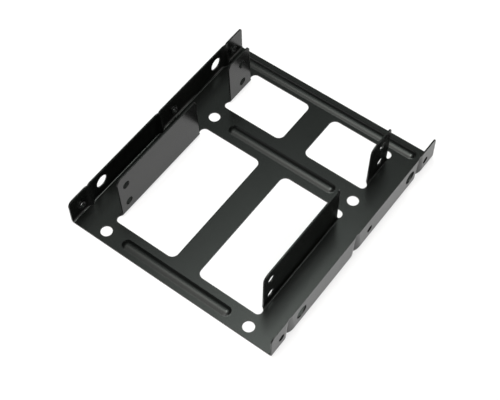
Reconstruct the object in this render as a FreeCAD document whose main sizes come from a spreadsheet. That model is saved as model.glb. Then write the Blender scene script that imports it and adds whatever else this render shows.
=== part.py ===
import FreeCAD, Part
import math
import os
import Sketcher

# Driving dimensions of the folded sheet, in millimetres, with its one angle in degrees.
SIZES = {
    # Sheet and side flanges
    "outer_width": 101.6,
    "sheet_thick": 0.6,
    "bend_radius": 0.8,
    "flange_height": 13.4,
    "flange_front_round": 2.5,
    "flange_back_round": 1.5,
    # Rails and windows, set out from the front edge to the back edge
    "front_rail": 10.75,
    "cross_rail": 13.7,
    "back_rail": 8.7,
    "centre_rib": 11.8,
    "window_round": 3.0,
    "front_relief_radius": 2.0,
    "back_relief_radius": 2.3,
    # Upright tabs that hold the drive, and their screw holes
    "tab_gap": 70.8,
    "tab_height": 23.8,
    "tab_front_round": 3.0,
    "tab_back_round": 1.8,
    "tab_root_rise": 0.3,
    "tab_lean": 1.3,
    "front_hole_lead": 4.6,
    "drive_hole_pitch": 76.6,
    "rear_hole_lead": 8.55,
    "rear_hole_tail": 5.75,
    "drive_hole_bore": 3.8,
    "drive_hole_low": 6.05,
    "drive_hole_rise": 11.3,
    # Holes in the side flanges
    "chassis_hole_bore": 3.3,
    "chassis_hole_lift": 6.0,
    "chassis_hole_front": 6.3,
    "chassis_hole_pitch": 60.0,
    "chassis_hole_back": 7.1,
    "chassis_collar_wall": 0.4,
    "chassis_collar_depth": 0.9,
    "access_hole_bore": 6.1,
    "access_hole_lift": 7.1,
    # Round holes in the base plate
    "plate_hole_bore": 5.1,
    "plate_hole_offset": 36.2,
    "plate_hole_front": 4.8,
    # Pressed beads across the rails
    "bead_half_wide": 2.5,
    "bead_rise": 0.7,
    "bead_foot_radius": 0.7,
    "bead_reach": 27.5,
    "back_bead_reach": 45.3,
    "front_bead_place": 4.85,
    "cross_bead_place": 6.2,
    "back_bead_place": 4.7,
    # Dents pressed into the flange bends as gussets
    "gusset_shoulder": 6.0,
    "gusset_foot_depth": 1.5,
    "gusset_top_depth": 0.4,
    "gusset_lap": 0.03,
    "gusset_front": 11.4,
    "gusset_middle": 56.8,
    "gusset_back": 12.0,
}

# Places along the bracket, measured back from its front edge.
FRONT_RELIEF = "2 * sizes.front_relief_radius"
BACK_RELIEF = "2 * sizes.back_relief_radius"
FRONT_TAB_START = f"sizes.front_rail + {FRONT_RELIEF}"
FRONT_HOLE = f"{FRONT_TAB_START} + sizes.front_hole_lead"
REAR_HOLE = f"{FRONT_HOLE} + sizes.drive_hole_pitch"
REAR_TAB_START = f"{REAR_HOLE} - sizes.rear_hole_lead"
REAR_TAB_END = f"{REAR_HOLE} + sizes.rear_hole_tail"
REAR_WINDOW_START = f"{REAR_TAB_START} - {FRONT_RELIEF}"
REAR_WINDOW_END = f"{REAR_TAB_END} + {BACK_RELIEF}"
FRONT_WINDOW_END = f"{REAR_WINDOW_START} - sizes.cross_rail"
FRONT_TAB_END = f"{FRONT_WINDOW_END} - {BACK_RELIEF}"
LENGTH = f"{REAR_WINDOW_END} + sizes.back_rail"

# Places across the bracket and up from its underside.
HALF_WIDTH = "sizes.outer_width / 2"
RIB_EDGE = "sizes.centre_rib / 2"
TAB_INNER = "sizes.tab_gap / 2"
TAB_OUTER = f"{TAB_INNER} + sizes.sheet_thick"
TAB_BEND = f"{TAB_OUTER} + sizes.bend_radius"
OUTER_BEND = "sizes.bend_radius + sizes.sheet_thick"
TAB_SPREAD = "sizes.tab_height * tan(sizes.tab_lean)"

# Each side window: its name, front end and back end.
WINDOWS = [
    ("front", "sizes.front_rail", FRONT_WINDOW_END),
    ("rear", REAR_WINDOW_START, REAR_WINDOW_END),
]

# Chassis screw holes along each flange.
CHASSIS_HOLES = [
    "sizes.chassis_hole_front",
    "sizes.chassis_hole_front + sizes.chassis_hole_pitch",
    f"{LENGTH} - sizes.chassis_hole_back",
]

# Each bead: its name, place along the bracket and half its straight length.
BEADS = [
    ("front", "sizes.front_bead_place", "sizes.bead_reach"),
    ("cross", f"{FRONT_WINDOW_END} + sizes.cross_bead_place", "sizes.bead_reach"),
    ("back", f"{LENGTH} - sizes.back_bead_place", "sizes.back_bead_reach"),
]

# Each gusset: its name and place along the bracket.
GUSSETS = [
    ("front", "sizes.gusset_front"),
    ("middle", "sizes.gusset_middle"),
    ("back", f"{LENGTH} - sizes.gusset_back"),
]

ORIGIN_POINT = (-1, 1)
SKETCH_AXES = {"x": -2, "y": -1}
SMALL = 1e-6


def centred(place):
    """Turn a place measured from the front edge into a length from the middle."""
    return f"{place} - ({LENGTH}) / 2"


def fill_sheet(doc):
    sheet = doc.addObject("Spreadsheet::Sheet", "sizes")
    for row, (alias, value) in enumerate(SIZES.items(), start=1):
        sheet.set(f"A{row}", alias)
        sheet.set(f"B{row}", str(value))
        sheet.setAlias(f"B{row}", alias)
    doc.recompute()
    return sheet


def number(sketch, expression):
    return float(sketch.evalExpression(expression))


def add_sketch(body, name, role, offset=("0", "0", "0")):
    """Sketch on one of the body's own planes, moved by an offset in that plane's axes."""
    plane = next(item for item in body.Origin.OriginFeatures if item.Role == role)
    sketch = body.newObject("Sketcher::SketchObject", name)
    sketch.AttachmentSupport = [(plane, "")]
    sketch.MapMode = "FlatFace"
    for axis, expression in zip("xyz", offset):
        if expression != "0":
            sketch.setExpression(f"AttachmentOffset.Base.{axis}", expression)
    return sketch


def bind(sketch, kind, references, expression):
    """Add a dimension to a sketch and drive it by an expression."""
    value = number(sketch, expression)
    index = sketch.addConstraint(Sketcher.Constraint(kind, *references, value))
    sketch.setExpression(f"Constraints[{index}]", expression)


def place_point(sketch, geometry, point, axis, expression):
    """Hold one coordinate of a point at a distance from the sketch origin."""
    value = number(sketch, expression)
    if abs(value) < SMALL:
        axis_line = SKETCH_AXES[axis]
        sketch.addConstraint(Sketcher.Constraint("PointOnObject", geometry, point, axis_line))
    elif value > 0:
        bind(sketch, f"Distance{axis.upper()}", (*ORIGIN_POINT, geometry, point), expression)
    else:
        bind(sketch, f"Distance{axis.upper()}", (geometry, point, *ORIGIN_POINT), f"-({expression})")


def add_outline(sketch, corners):
    """Closed outline of level and upright edges through corners (x, y, radius)."""
    points = [FreeCAD.Vector(number(sketch, x), number(sketch, y), 0) for x, y, _ in corners]
    rounds = [number(sketch, radius) for _, _, radius in corners]
    count = len(corners)
    edge_ways = [(points[(i + 1) % count] - points[i]).normalize() for i in range(count)]
    lines = []
    for i, way in enumerate(edge_ways):
        following = (i + 1) % count
        start = points[i] + way * rounds[i]
        end = points[following] - way * rounds[following]
        line = sketch.addGeometry(Part.LineSegment(start, end))
        level = abs(way.y) < SMALL
        sketch.addConstraint(Sketcher.Constraint("Horizontal" if level else "Vertical", line))
        place_point(sketch, line, 1, "y" if level else "x", corners[i][1 if level else 0])
        lines.append(line)
    for i in range(count):
        before, after = lines[i - 1], lines[i]
        if rounds[i] < SMALL:
            sketch.addConstraint(Sketcher.Constraint("Coincident", before, 2, after, 1))
        else:
            round_corner(sketch, before, after, edge_ways[i - 1], edge_ways[i], points[i], corners[i][2])


def round_corner(sketch, before, after, way_in, way_out, corner, radius_expression):
    """Join two edges of an outline by a tangent arc."""
    radius = number(sketch, radius_expression)
    centre = corner - way_in * radius + way_out * radius
    turns_left = way_in.cross(way_out).z > 0
    first = corner - way_in * radius - centre
    last = corner + way_out * radius - centre
    if not turns_left:
        first, last = last, first
    start_angle = math.atan2(first.y, first.x)
    end_angle = math.atan2(last.y, last.x)
    circle = Part.Circle(centre, FreeCAD.Vector(0, 0, 1), radius)
    arc = sketch.addGeometry(Part.ArcOfCircle(circle, start_angle, end_angle))
    arc_in, arc_out = (1, 2) if turns_left else (2, 1)
    sketch.addConstraint(Sketcher.Constraint("Tangent", before, 2, arc, arc_in))
    sketch.addConstraint(Sketcher.Constraint("Tangent", arc, arc_out, after, 1))
    bind(sketch, "Radius", (arc,), radius_expression)


def add_circle(sketch, x, y, bore):
    centre = FreeCAD.Vector(number(sketch, x), number(sketch, y), 0)
    shape = Part.Circle(centre, FreeCAD.Vector(0, 0, 1), number(sketch, bore) / 2)
    circle = sketch.addGeometry(shape)
    place_point(sketch, circle, 3, "x", x)
    place_point(sketch, circle, 3, "y", y)
    bind(sketch, "Diameter", (circle,), bore)


def add_feature(body, kind, name, sketch, **settings):
    feature = body.newObject(f"PartDesign::{kind}", name)
    feature.Profile = sketch
    for setting, value in settings.items():
        setattr(feature, setting, value)
    return feature


def add_symmetric(body, kind, name, sketch, length):
    """Pad or pocket that reaches half its length to each side of the sketch."""
    feature = add_feature(body, kind, name, sketch, SideType="Symmetric")
    feature.setExpression("Length", length)
    return feature


def add_fillet(body, name, edge_test, radius):
    """Round every edge of the body so far that passes a test."""
    body.Document.recompute()
    base = body.Tip
    numbered = enumerate(base.Shape.Edges, start=1)
    chosen = [f"Edge{i}" for i, edge in numbered if edge_test(edge)]
    fillet = body.newObject("PartDesign::Fillet", name)
    fillet.Base = (base, chosen)
    fillet.setExpression("Radius", radius)
    return fillet


def crosses_at(edge, y, z):
    """True for a straight edge across the bracket at this length and height."""
    ends = [vertex.Point for vertex in edge.Vertexes]
    if len(ends) != 2 or abs(ends[0].x - ends[1].x) < SMALL:
        return False
    return all(abs(end.y - y) < SMALL and abs(end.z - z) < SMALL for end in ends)


def add_channel(body):
    """Base plate with a flange folded up along each side."""
    sketch = add_sketch(body, "channel_section", "XZ_Plane")
    flange_inner = f"{HALF_WIDTH} - sizes.sheet_thick"
    right_half = [
        (HALF_WIDTH, "0", OUTER_BEND),
        (HALF_WIDTH, "sizes.flange_height", "0"),
        (flange_inner, "sizes.flange_height", "0"),
        (flange_inner, "sizes.sheet_thick", "sizes.bend_radius"),
    ]
    left_half = [(f"-({x})", y, radius) for x, y, radius in reversed(right_half)]
    add_outline(sketch, right_half + left_half)
    add_symmetric(body, "Pad", "channel", sketch, LENGTH)
    length = number(sketch, LENGTH)
    height = number(sketch, "sizes.flange_height")
    ends = [("front", -length / 2), ("back", length / 2)]
    for name, y in ends:
        add_fillet(
            body,
            f"flange_{name}_corners",
            lambda edge: crosses_at(edge, y, height),
            f"sizes.flange_{name}_round",
        )


def add_gusset_line(sketch, radius_cut, outer_inset, depth, place):
    """Closed outline of a dent, or of the bump behind it, seen from above.

    The two shoulders are arcs that leave the flange face almost level and meet in a
    crease. They start a small lap off the face, so that they cross it cleanly.
    """
    shoulder = "sizes.gusset_shoulder"
    drop = f"({depth} + sizes.gusset_lap)"
    half_wide = f"sqrt({drop} * (2 * {shoulder} - {drop}))"
    centre_x = f"{HALF_WIDTH} - {shoulder} + sizes.gusset_lap"
    outer_x = f"{HALF_WIDTH} - ({outer_inset})"
    radius = f"{shoulder} - ({radius_cut})"
    up = FreeCAD.Vector(0, 0, 1)
    x, y = number(sketch, centre_x), number(sketch, place)
    r, w = number(sketch, radius), number(sketch, half_wide)
    cut = number(sketch, radius_cut)
    slope = math.asin(w / number(sketch, shoulder))
    near_circle = Part.Circle(FreeCAD.Vector(x, y - w, 0), up, r)
    far_circle = Part.Circle(FreeCAD.Vector(x, y + w, 0), up, r)
    near = sketch.addGeometry(Part.ArcOfCircle(near_circle, 0, slope))
    far = sketch.addGeometry(Part.ArcOfCircle(far_circle, -slope, 0))
    for arc, side in ((near, "-"), (far, "+")):
        place_point(sketch, arc, 3, "x", centre_x)
        place_point(sketch, arc, 3, "y", f"{place} {side} {half_wide}")
        bind(sketch, "Radius", (arc,), radius)
    sketch.addConstraint(Sketcher.Constraint("Horizontal", near, 3, near, 1))
    sketch.addConstraint(Sketcher.Constraint("Horizontal", far, 3, far, 2))
    if cut < SMALL:
        sketch.addConstraint(Sketcher.Constraint("Coincident", near, 2, far, 1))
    else:
        crease = FreeCAD.Vector(x + number(sketch, shoulder) * math.cos(slope), y, 0)
        crown = Part.ArcOfCircle(Part.Circle(crease, up, cut), math.pi - slope, math.pi + slope)
        peak = sketch.addGeometry(crown)
        sketch.addConstraint(Sketcher.Constraint("Tangent", near, 2, peak, 2))
        sketch.addConstraint(Sketcher.Constraint("Tangent", peak, 1, far, 1))
        bind(sketch, "Radius", (peak,), radius_cut)
    close_outline(sketch, near, far, outer_x, x + r, y - w, y + w)


def close_outline(sketch, near, far, outer_x, face, low, high):
    """Close the open ends of two arcs with a straight-sided box."""
    outer = number(sketch, outer_x)
    corners = [(face, low), (outer, low), (outer, high), (face, high)]
    points = [FreeCAD.Vector(px, py, 0) for px, py in corners]
    lines = [sketch.addGeometry(Part.LineSegment(a, b)) for a, b in zip(points, points[1:])]
    for line, way in zip(lines, ("Horizontal", "Vertical", "Horizontal")):
        sketch.addConstraint(Sketcher.Constraint(way, line))
    sketch.addConstraint(Sketcher.Constraint("Coincident", near, 1, lines[0], 1))
    sketch.addConstraint(Sketcher.Constraint("Coincident", lines[0], 2, lines[1], 1))
    sketch.addConstraint(Sketcher.Constraint("Coincident", lines[1], 2, lines[2], 1))
    sketch.addConstraint(Sketcher.Constraint("Coincident", lines[2], 2, far, 2))
    place_point(sketch, lines[1], 1, "x", outer_x)


def add_gussets(body):
    """Dents pressed into the flanges from outside, with the bump each leaves inside."""
    features = []
    forms = [
        ("bump", "AdditiveLoft", "sizes.sheet_thick", "sizes.sheet_thick / 2", "sizes.sheet_thick"),
        ("dent", "SubtractiveLoft", "0", "-sizes.sheet_thick", "0"),
    ]
    for form, kind, radius_cut, outer_inset, foot in forms:
        for name, place in GUSSETS:
            levels = [("foot", foot), ("top", "sizes.flange_height")]
            sections = []
            for level, height in levels:
                offset = ("0", "0", height)
                sketch = add_sketch(body, f"{name}_{form}_{level}", "XY_Plane", offset)
                depth = f"sizes.gusset_{level}_depth"
                add_gusset_line(sketch, radius_cut, outer_inset, depth, centred(place))
                sections.append(sketch)
            loft = add_feature(body, kind, f"{name}_{form}", sections[0], Ruled=True)
            loft.Sections = [(sections[1], [""])]
            features.append(loft)
    return features


def add_screw_collars(body):
    """Collars drawn inwards from a flange round its chassis screw holes, for a longer thread."""
    sheet_middle = f"{HALF_WIDTH} - sizes.sheet_thick / 2"
    sketch = add_sketch(body, "screw_collar_section", "YZ_Plane", ("0", "0", sheet_middle))
    across = "sizes.chassis_hole_bore + 2 * sizes.chassis_collar_wall"
    for place in CHASSIS_HOLES:
        add_circle(sketch, centred(place), "sizes.chassis_hole_lift", across)
    collars = add_feature(body, "Pad", "screw_collars", sketch, Reversed=True)
    collars.setExpression("Length", "sizes.sheet_thick / 2 + sizes.chassis_collar_depth")
    return collars


def add_flange_holes(body):
    """Chassis screw holes and driver access holes through both flanges."""
    sketch = add_sketch(body, "flange_holes", "YZ_Plane")
    for place in CHASSIS_HOLES:
        add_circle(sketch, centred(place), "sizes.chassis_hole_lift", "sizes.chassis_hole_bore")
    for place in (FRONT_HOLE, REAR_HOLE):
        add_circle(sketch, centred(place), "sizes.access_hole_lift", "sizes.access_hole_bore")
    through = "sizes.outer_width + 2 * sizes.sheet_thick"
    add_symmetric(body, "Pocket", "flange_hole_cuts", sketch, through)


def add_window(body, name, start, end):
    """One side's window through the plate, with round reliefs beside the tab."""
    sketch = add_sketch(body, f"{name}_window", "XY_Plane")
    low, high = centred(start), centred(end)
    add_outline(sketch, [
        (RIB_EDGE, low, "sizes.window_round"),
        (TAB_BEND, low, "sizes.front_relief_radius"),
        (TAB_BEND, high, "sizes.back_relief_radius"),
        (RIB_EDGE, high, "sizes.window_round"),
    ])
    return add_symmetric(body, "Pocket", f"{name}_window_cut", sketch, "4 * sizes.sheet_thick")


def add_tab_section(sketch, top):
    """Cross-section of a tab: the edge of the plate, a bend, and a wall that leans outwards."""
    lean = math.radians(number(sketch, "sizes.tab_lean"))
    centre = FreeCAD.Vector(number(sketch, TAB_BEND), number(sketch, OUTER_BEND), 0)
    rail_end = centre.x + number(sketch, "sizes.sheet_thick")
    across = FreeCAD.Vector(-math.cos(lean), math.sin(lean), 0)
    along = FreeCAD.Vector(math.sin(lean), math.cos(lean), 0)
    bends, walls, rails = [], [], []
    for radius_expression in (OUTER_BEND, "sizes.bend_radius"):
        radius = number(sketch, radius_expression)
        circle = Part.Circle(centre, FreeCAD.Vector(0, 0, 1), radius)
        bend = sketch.addGeometry(Part.ArcOfCircle(circle, math.pi - lean, 1.5 * math.pi))
        foot = centre + across * radius
        head = foot + along * ((number(sketch, top) - foot.y) / along.y)
        wall = sketch.addGeometry(Part.LineSegment(foot, head))
        rail_start = centre - FreeCAD.Vector(0, radius, 0)
        rail = sketch.addGeometry(Part.LineSegment(rail_start, FreeCAD.Vector(rail_end, rail_start.y, 0)))
        sketch.addConstraint(Sketcher.Constraint("Tangent", bend, 1, wall, 1))
        sketch.addConstraint(Sketcher.Constraint("Tangent", bend, 2, rail, 1))
        sketch.addConstraint(Sketcher.Constraint("Horizontal", rail))
        bind(sketch, "Radius", (bend,), radius_expression)
        bends.append(bend)
        walls.append(wall)
        rails.append(rail)
    place_point(sketch, bends[0], 3, "x", TAB_BEND)
    place_point(sketch, bends[0], 3, "y", OUTER_BEND)
    sketch.addConstraint(Sketcher.Constraint("Coincident", bends[0], 3, bends[1], 3))
    sketch.addConstraint(Sketcher.Constraint("Parallel", walls[0], walls[1]))
    close_tab_section(sketch, walls, rails, top)


def close_tab_section(sketch, walls, rails, top):
    """Join a tab's two faces along its top edge, and the rail's two faces at its end."""
    rise = f"{top} - ({OUTER_BEND})"
    head = f"{TAB_BEND} + ({rise}) * tan(sizes.tab_lean) - ({OUTER_BEND}) / cos(sizes.tab_lean)"
    place_point(sketch, walls[0], 2, "x", head)
    for pair, way in ((walls, "Horizontal"), (rails, "Vertical")):
        ends = [sketch.getPoint(line, 2) for line in pair]
        closing = sketch.addGeometry(Part.LineSegment(*ends))
        sketch.addConstraint(Sketcher.Constraint("Coincident", pair[0], 2, closing, 1))
        sketch.addConstraint(Sketcher.Constraint("Coincident", closing, 2, pair[1], 2))
        sketch.addConstraint(Sketcher.Constraint(way, closing))
    place_point(sketch, walls[0], 2, "y", top)
    place_point(sketch, rails[0], 2, "x", f"{TAB_BEND} + sizes.sheet_thick")


def add_tab(body, name, start, end):
    """Tab folded up from a window's outer edge, its flared root and its reliefs."""
    root_top = f"{OUTER_BEND} + sizes.tab_root_rise"
    reliefs = [
        (f"{start} + sizes.front_relief_radius", "sizes.front_relief_radius"),
        (f"{end} - sizes.back_relief_radius", "sizes.back_relief_radius"),
    ]
    stretches = [
        ("root", root_top, reliefs[0][0], reliefs[1][0]),
        ("tab", "sizes.tab_height", f"{start} + {FRONT_RELIEF}", f"{end} - ({BACK_RELIEF})"),
    ]
    features = []
    for part, top, front, back in stretches:
        middle = centred(f"({front} + {back}) / 2")
        sketch = add_sketch(body, f"{name}_{part}_section", "XZ_Plane", ("0", "0", f"-({middle})"))
        add_tab_section(sketch, top)
        features.append(add_symmetric(body, "Pad", f"{name}_{part}", sketch, f"{back} - ({front})"))
    notches = add_sketch(body, f"{name}_reliefs", "XY_Plane")
    for place, radius in reliefs:
        add_circle(notches, f"{TAB_BEND} - {radius}", centred(place), f"2 * {radius}")
    depth = f"2 * ({root_top} + sizes.sheet_thick)"
    features.append(add_symmetric(body, "Pocket", f"{name}_relief_cuts", notches, depth))
    return features


def add_tab_holes(body):
    """Two drive screw holes, one above the other, in each tab of one side."""
    sketch = add_sketch(body, "drive_holes", "YZ_Plane", ("0", "0", TAB_INNER))
    low = "sizes.drive_hole_low"
    for place in (FRONT_HOLE, REAR_HOLE):
        for height in (low, f"{low} + sizes.drive_hole_rise"):
            add_circle(sketch, centred(place), height, "sizes.drive_hole_bore")
    through = f"2 * ({TAB_SPREAD} + 2 * sizes.sheet_thick)"
    return add_symmetric(body, "Pocket", "drive_hole_cuts", sketch, through)


def add_plate_holes(body):
    """Round holes beside the front and cross beads."""
    sketch = add_sketch(body, "plate_holes", "XY_Plane")
    cross_middle = f"{FRONT_WINDOW_END} + sizes.cross_rail / 2"
    for place in ("sizes.plate_hole_front", cross_middle):
        add_circle(sketch, "sizes.plate_hole_offset", centred(place), "sizes.plate_hole_bore")
    return add_symmetric(body, "Pocket", "plate_hole_cuts", sketch, "4 * sizes.sheet_thick")


def add_bead_line(sketch, base, both_sides):
    """Cross-section of a bead: a crown arc that runs out into the plate over foot arcs."""
    wide, rise, foot_radius = "sizes.bead_half_wide", "sizes.bead_rise", "sizes.bead_foot_radius"
    radius = f"(({wide} ^ 2 + {rise} ^ 2) / (2 * {rise}) - {foot_radius})"
    w, h = number(sketch, wide), number(sketch, rise)
    r, f, z = number(sketch, radius), number(sketch, foot_radius), number(sketch, base)
    slope = math.asin(w / (r + f))
    up = FreeCAD.Vector(0, 0, 1)
    crown_circle = Part.Circle(FreeCAD.Vector(0, z + h - r, 0), up, r)
    sides = (1, -1) if both_sides else (1,)
    crown_end = math.pi / 2 + slope if both_sides else math.pi / 2
    crown = sketch.addGeometry(Part.ArcOfCircle(crown_circle, math.pi / 2 - slope, crown_end))
    place_point(sketch, crown, 3, "x", "0")
    place_point(sketch, crown, 3, "y", f"{base} + {rise} - {radius}")
    bind(sketch, "Radius", (crown,), radius)
    floor_ends = []
    for side in sides:
        circle = Part.Circle(FreeCAD.Vector(side * w, z + f, 0), up, f)
        start, stop = -math.pi / 2 - slope, -math.pi / 2
        if side < 0:
            start, stop = -math.pi / 2, -math.pi / 2 + slope
        foot = sketch.addGeometry(Part.ArcOfCircle(circle, start, stop))
        upper, lower = (1, 2) if side > 0 else (2, 1)
        crown_point = 1 if side > 0 else 2
        sketch.addConstraint(Sketcher.Constraint("Tangent", crown, crown_point, foot, upper))
        bind(sketch, "Radius", (foot,), foot_radius)
        sketch.addConstraint(Sketcher.Constraint("Vertical", foot, 3, foot, lower))
        place_point(sketch, foot, lower, "y", base)
        floor_ends.append((foot, lower))
    close_bead_line(sketch, crown, floor_ends, w, z, h, base)


def close_bead_line(sketch, crown, floor_ends, w, z, h, base):
    """Close a bead's cross-section along the plate, and along the axis of a half section."""
    if len(floor_ends) == 2:
        line = sketch.addGeometry(Part.LineSegment(FreeCAD.Vector(-w, z, 0), FreeCAD.Vector(w, z, 0)))
        sketch.addConstraint(Sketcher.Constraint("Coincident", line, 2, *floor_ends[0]))
        sketch.addConstraint(Sketcher.Constraint("Coincident", line, 1, *floor_ends[1]))
        return
    axis_foot = FreeCAD.Vector(0, z, 0)
    level = sketch.addGeometry(Part.LineSegment(axis_foot, FreeCAD.Vector(w, z, 0)))
    upright = sketch.addGeometry(Part.LineSegment(FreeCAD.Vector(0, z + h, 0), axis_foot))
    sketch.addConstraint(Sketcher.Constraint("Coincident", level, 2, *floor_ends[0]))
    sketch.addConstraint(Sketcher.Constraint("Coincident", level, 1, upright, 2))
    sketch.addConstraint(Sketcher.Constraint("Coincident", upright, 1, crown, 2))
    place_point(sketch, upright, 2, "y", base)
    place_point(sketch, upright, 2, "x", "0")
    place_point(sketch, crown, 2, "x", "0")


def add_beads(body):
    """Beads raised on the plate, hollow underneath, with round ends."""
    ends = []
    forms = [
        ("ridge", "Pad", "Revolution", "sizes.sheet_thick"),
        ("hollow", "Pocket", "Groove", "0"),
    ]
    for form, straight_kind, end_kind, base in forms:
        for name, place, reach in BEADS:
            middle = centred(place)
            straight = f"{reach} - sizes.bead_half_wide"
            line = add_sketch(body, f"{name}_{form}_section", "YZ_Plane", (middle, "0", "0"))
            add_bead_line(line, base, True)
            add_symmetric(body, straight_kind, f"{name}_{form}", line, f"2 * ({straight})")
            tip = add_sketch(body, f"{name}_{form}_end_section", "YZ_Plane", (middle, "0", straight))
            add_bead_line(tip, base, False)
            end = add_feature(body, end_kind, f"{name}_{form}_end", tip, Angle=180, Reversed=True)
            end.ReferenceAxis = (tip, ["V_Axis"])
            ends.append(end)
    return ends


def mirror_to_left(body, name, originals):
    plane = next(item for item in body.Origin.OriginFeatures if item.Role == "YZ_Plane")
    mirror = body.newObject("PartDesign::Mirrored", name)
    mirror.Originals = originals
    mirror.MirrorPlane = (plane, [""])
    body.Tip = mirror
    return mirror


def round_tabs(body, sheet):
    """Round the top corners of the tabs."""
    top = float(sheet.evalExpression("sizes.tab_height"))
    ends = [("front", FRONT_TAB_START, REAR_TAB_START), ("back", FRONT_TAB_END, REAR_TAB_END)]
    for name, *places in ends:
        lengths = [float(sheet.evalExpression(centred(place))) for place in places]
        add_fillet(
            body,
            f"tab_{name}_corners",
            lambda edge: any(crosses_at(edge, y, top) for y in lengths),
            f"sizes.tab_{name}_round",
        )


def build_bracket(doc, sheet):
    body = doc.addObject("PartDesign::Body", "bracket")
    body.Label = "bracket"
    add_channel(body)
    flange_forms = add_gussets(body) + [add_screw_collars(body)]
    mirror_to_left(body, "left_flange_forms", flange_forms)
    add_flange_holes(body)
    side_features = [add_window(body, *window) for window in WINDOWS]
    for window in WINDOWS:
        side_features += add_tab(body, *window)
    side_features.append(add_tab_holes(body))
    side_features.append(add_plate_holes(body))
    side_features += add_beads(body)
    mirror_to_left(body, "left_side", side_features)
    round_tabs(body, sheet)
    return body


def check(doc, bodies):
    """Stop if any object failed or any sub-part has no sound solid."""
    for item in doc.Objects:
        if "Invalid" in item.State or "Error" in item.State:
            raise RuntimeError(f"{item.Name} did not build")
    for body in bodies:
        shape = body.Shape
        if shape.isNull() or not shape.isValid() or len(shape.Solids) != 1:
            raise RuntimeError(f"{body.Label} is not one sound solid")


def main():
    doc = FreeCAD.newDocument("drive_bay_adapter_bracket")
    sheet = fill_sheet(doc)
    bodies = [build_bracket(doc, sheet)]
    doc.recompute()
    check(doc, bodies)
    os.makedirs("parts", exist_ok=True)
    for body in bodies:
        body.Shape.exportStep(f"parts/{body.Label}.step")
        box = body.Shape.BoundBox
        print(body.Label, "volume", round(body.Shape.Volume, 2), "box", box)


main()
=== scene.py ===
"""Finish, light and camera for a folded drive bay adapter bracket in satin black paint.

The sheet itself, with its folds, holes, dents and beads, comes from the frame. This script gives it
a paint whose shading rounds the sheared edges, lays a pale floor under it and lights it as in a small
photo studio. Lengths are metres and angles degrees, in the frame's own axes: +X right, +Y back, +Z up.
"""
import math

import bpy
from mathutils import Matrix, Vector

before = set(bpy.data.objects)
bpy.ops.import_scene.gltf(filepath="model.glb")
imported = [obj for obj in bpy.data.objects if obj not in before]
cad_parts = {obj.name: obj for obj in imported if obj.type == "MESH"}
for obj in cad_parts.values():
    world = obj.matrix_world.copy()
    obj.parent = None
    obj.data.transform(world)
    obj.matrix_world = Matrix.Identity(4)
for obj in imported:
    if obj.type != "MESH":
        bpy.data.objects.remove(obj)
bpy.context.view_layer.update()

MM = 0.001
WHITE = (1.0, 1.0, 1.0, 1.0)

# Camera, as the photograph was taken: it looks down on the front right corner
CAMERA_LENS = 82.76
SENSOR_WIDTH = 36.0
CAMERA_AZIMUTH = 37.9
CAMERA_ELEVATION = 57.478
CAMERA_ROLL = -1.213
CAMERA_DISTANCE = 0.4762
CAMERA_TARGET = Vector((1.611 * MM, -5.716 * MM, 0.0))

# Sheared edges: the paint's shading rounds them, and makes them a little duller
EDGE_ROUND = 0.2 * MM
EDGE_SAMPLES = 6
EDGE_SPREAD = 1.5

# Paint
PAINT_TONE = (0.002, 0.0022, 0.002)
PAINT_ROUGHNESS = 0.19
PAINT_IOR = 1.37

# Broad clouds, which vary the paint's tone and gloss
CLOUD_SCALE = 60.0
CLOUD_DETAIL = 3.0
CLOUD_TONE = 0.15
CLOUD_ROUGHNESS = 0.06

# Orange peel, and the finer grain on it
PEEL_SCALE = 1800.0
PEEL_DETAIL = 2.0
PEEL_STRENGTH = 0.12
PEEL_DEPTH = 0.02 * MM
GRAIN_SCALE = 9000.0
GRAIN_DETAIL = 1.0
GRAIN_HEIGHT = 0.35
GRAIN_ROUGHNESS = 0.05

# Studio floor, a hair below the bracket's flat underside so that the two faces don't share a plane
FLOOR_SIZE = 6.0
FLOOR_DROP = 0.02 * MM
FLOOR_TONE = (0.31, 0.3, 0.307)
FLOOR_ROUGHNESS = 0.9
FLOOR_GLOW = 0.6

# Studio room, lighter at the horizon than overhead
ROOM_LIGHT = 0.02
HORIZON_LIGHT = 0.45
HORIZON_TOP = 0.5

# Lamps. The overhead softbox is four of them, because its brightness and tint vary along it
SOFTBOXES = {
    "overhead_rear": dict(
        azimuth=-5.0, elevation=90.0, distance=0.9, aside=(-0.09, 0.295), size=(0.56, 0.33),
        brightness=2.8, tint=(0.9, 1.0, 0.94),
    ),
    "overhead_centre": dict(
        azimuth=-5.0, elevation=90.0, distance=0.88, aside=(-0.02, 0.22), size=(0.2, 0.3),
        brightness=11.0, tint=(0.93, 1.0, 0.94),
    ),
    "overhead_middle": dict(
        azimuth=-5.0, elevation=90.0, distance=0.9, aside=(-0.09, 0.005), size=(0.56, 0.25),
        brightness=6.0, tint=(0.97, 1.0, 0.935),
    ),
    "overhead_front": dict(
        azimuth=-5.0, elevation=90.0, distance=0.9, aside=(-0.09, -0.68), size=(0.56, 1.11),
        brightness=2.7, tint=(1.0, 0.99, 0.95),
    ),
    "ceiling_glow": dict(
        azimuth=0.0, elevation=90.0, distance=0.95, aside=(-0.3, 0.0), size=(1.0, 1.9),
        brightness=0.48, tint=(0.88, 1.0, 0.93),
    ),
    "side_softbox": dict(
        azimuth=105.0, elevation=28.0, distance=1.2, aside=(0.0, 0.0), size=(1.2, 0.8),
        brightness=2.0, tint=(1.0, 0.985, 0.95),
    ),
    "front_softbox": dict(
        azimuth=37.9, elevation=50.0, distance=1.2, aside=(0.0, 0.0), size=(1.2, 0.8),
        brightness=2.7, tint=(1.0, 1.0, 1.0),
    ),
}


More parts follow.
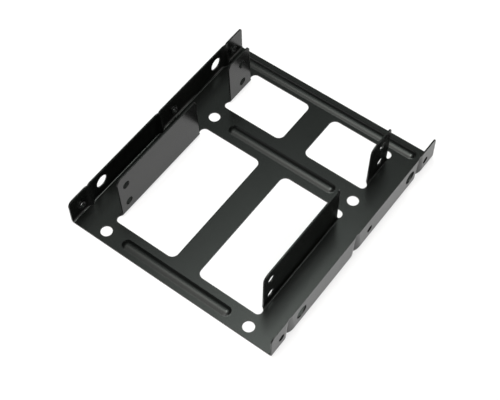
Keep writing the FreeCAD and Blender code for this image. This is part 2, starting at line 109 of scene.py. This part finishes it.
class Wire:
    """A socket of a node tree. Sums and products of wires add Math nodes to the tree."""

    def __init__(self, tree, socket=None):
        self.tree = tree
        self.socket = socket

    def add(self, kind, settings=None, inputs=None, output=0):
        """A new node: its settings first, then what goes into its sockets; gives one output."""
        node = self.tree.nodes.new(kind)
        for name, value in (settings or {}).items():
            setattr(node, name, value)
        for name, value in (inputs or {}).items():
            if isinstance(value, Wire):
                self.tree.links.new(value.socket, node.inputs[name])
            else:
                node.inputs[name].default_value = value
        return Wire(self.tree, node.outputs[output] if node.outputs else None)

    def maths(self, operation, first, second):
        return self.add("ShaderNodeMath", {"operation": operation}, {0: first, 1: second})

    def __add__(self, other):
        return self.maths("ADD", self, other)

    def __sub__(self, other):
        return self.maths("SUBTRACT", self, other)

    def __rsub__(self, other):
        return self.maths("SUBTRACT", other, self)

    def __mul__(self, other):
        return self.maths("MULTIPLY", self, other)

    __radd__ = __add__
    __rmul__ = __mul__


def new_material(name):
    """An empty material, and a wire that adds nodes to its tree."""
    material = bpy.data.materials.new(name)
    material.use_nodes = True
    material.node_tree.nodes.clear()
    return material, Wire(material.node_tree)


def noise(tree, place, scale, detail):
    """Soft random values from 0 to 1 over the surface."""
    inputs = {"Vector": place, "Scale": scale, "Detail": detail}
    return tree.add("ShaderNodeTexNoise", {}, inputs, "Fac")


def satin_black_paint():
    """Baked black paint on steel: nearly black, smooth satin, with a faint orange peel."""
    material, tree = new_material("satin_black_paint")
    place = tree.add("ShaderNodeTexCoord", output="Object")
    cloud = noise(tree, place, CLOUD_SCALE, CLOUD_DETAIL)
    peel = noise(tree, place, PEEL_SCALE, PEEL_DETAIL)
    grain = noise(tree, place, GRAIN_SCALE, GRAIN_DETAIL)
    darker = (*[(1 - CLOUD_TONE) * level for level in PAINT_TONE], 1.0)
    lighter = (*[(1 + CLOUD_TONE) * level for level in PAINT_TONE], 1.0)
    blend = {"Factor": cloud, "A": darker, "B": lighter}
    colour = tree.add("ShaderNodeMix", {"data_type": "RGBA"}, blend, "Result")
    rounded = tree.add("ShaderNodeBevel", {"samples": EDGE_SAMPLES}, {"Radius": EDGE_ROUND})
    face = tree.add("ShaderNodeNewGeometry", output="Normal")
    dot_product = {"operation": "DOT_PRODUCT"}
    agree = tree.add("ShaderNodeVectorMath", dot_product, {0: rounded, 1: face}, "Value")
    edge = EDGE_SPREAD * (1.0 - agree)
    normal = tree.add(
        "ShaderNodeBump",
        {},
        {
            "Strength": PEEL_STRENGTH,
            "Distance": PEEL_DEPTH,
            "Height": peel + GRAIN_HEIGHT * grain,
            "Normal": rounded,
        },
    )
    roughness = PAINT_ROUGHNESS + CLOUD_ROUGHNESS * cloud + GRAIN_ROUGHNESS * grain + edge
    shader = tree.add(
        "ShaderNodeBsdfPrincipled",
        {},
        {"Base Color": colour, "Roughness": roughness, "Normal": normal, "IOR": PAINT_IOR},
    )
    tree.add("ShaderNodeOutputMaterial", {}, {"Surface": shader})
    return material


def finish_bracket():
    """The sheet from the frame gets its paint."""
    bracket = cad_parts["bracket"]
    bracket.material_slots[0].material = satin_black_paint()


def pale_floor():
    """A plain light table under the bracket, larger than the view. Its glow softens the shadows."""
    material, tree = new_material("pale_floor_paper")
    shader = tree.add(
        "ShaderNodeBsdfPrincipled",
        {},
        {
            "Base Color": (*FLOOR_TONE, 1.0),
            "Roughness": FLOOR_ROUGHNESS,
            "Specular IOR Level": 0.0,
            "Emission Color": WHITE,
            "Emission Strength": FLOOR_GLOW,
        },
    )
    tree.add("ShaderNodeOutputMaterial", {}, {"Surface": shader})
    half = FLOOR_SIZE / 2
    corners = [(-half, -half, 0), (half, -half, 0), (half, half, 0), (-half, half, 0)]
    mesh = bpy.data.meshes.new("studio_floor")
    mesh.from_pydata(corners, [], [(0, 1, 2, 3)])
    mesh.materials.append(material)
    floor = bpy.data.objects.new("studio_floor", mesh)
    floor.location.z = -FLOOR_DROP
    bpy.context.scene.collection.objects.link(floor)


def turn_towards(azimuth, elevation, roll=0.0):
    """The turn of a camera or lamp that looks at the origin from an azimuth and an elevation."""
    return (
        Matrix.Rotation(math.radians(azimuth), 4, "Z")
        @ Matrix.Rotation(math.radians(90 - elevation), 4, "X")
        @ Matrix.Rotation(math.radians(roll), 4, "Z")
    )


def softbox(name, azimuth, elevation, distance, aside, size, brightness, tint):
    """A rectangular lamp turned towards the bracket, then moved aside along its own plane."""
    lamp = bpy.data.lights.new(name, "AREA")
    lamp.shape = "RECTANGLE"
    lamp.size, lamp.size_y = size
    lamp.energy = brightness * math.pi * size[0] * size[1]
    lamp.color = tint
    holder = bpy.data.objects.new(name, lamp)
    offset = Matrix.Translation((*aside, distance))
    holder.matrix_world = turn_towards(azimuth, elevation) @ offset
    bpy.context.scene.collection.objects.link(holder)


def studio_light():
    """A dim room that is lighter at the horizon, and the softboxes in it."""
    world = bpy.data.worlds.new("studio_room")
    world.use_nodes = True
    world.node_tree.nodes.clear()
    tree = Wire(world.node_tree)
    direction = tree.add("ShaderNodeTexCoord", output="Generated")
    height = tree.add("ShaderNodeSeparateXYZ", {}, {"Vector": direction}, "Z")
    fade = {
        "Value": height,
        "From Min": 0.0,
        "From Max": HORIZON_TOP,
        "To Min": HORIZON_LIGHT,
        "To Max": ROOM_LIGHT,
    }
    light = tree.add("ShaderNodeMapRange", {"interpolation_type": "SMOOTHSTEP"}, fade)
    room = tree.add("ShaderNodeBackground", {}, {"Color": WHITE, "Strength": light})
    tree.add("ShaderNodeOutputWorld", {}, {"Surface": room})
    bpy.context.scene.world = world
    for name, settings in SOFTBOXES.items():
        softbox(name, **settings)


def photo_camera():
    """The camera at the photograph's angle, with its roll and its lens."""
    data = bpy.data.cameras.new("photo_camera")
    data.lens = CAMERA_LENS
    data.sensor_width = SENSOR_WIDTH
    camera = bpy.data.objects.new("photo_camera", data)
    camera.matrix_world = (
        Matrix.Translation(CAMERA_TARGET)
        @ turn_towards(CAMERA_AZIMUTH, CAMERA_ELEVATION, CAMERA_ROLL)
        @ Matrix.Translation((0, 0, CAMERA_DISTANCE))
    )
    bpy.context.scene.collection.objects.link(camera)
    bpy.context.scene.camera = camera


finish_bracket()
pale_floor()
studio_light()
photo_camera()
bpy.context.scene.view_settings.view_transform = "Standard"
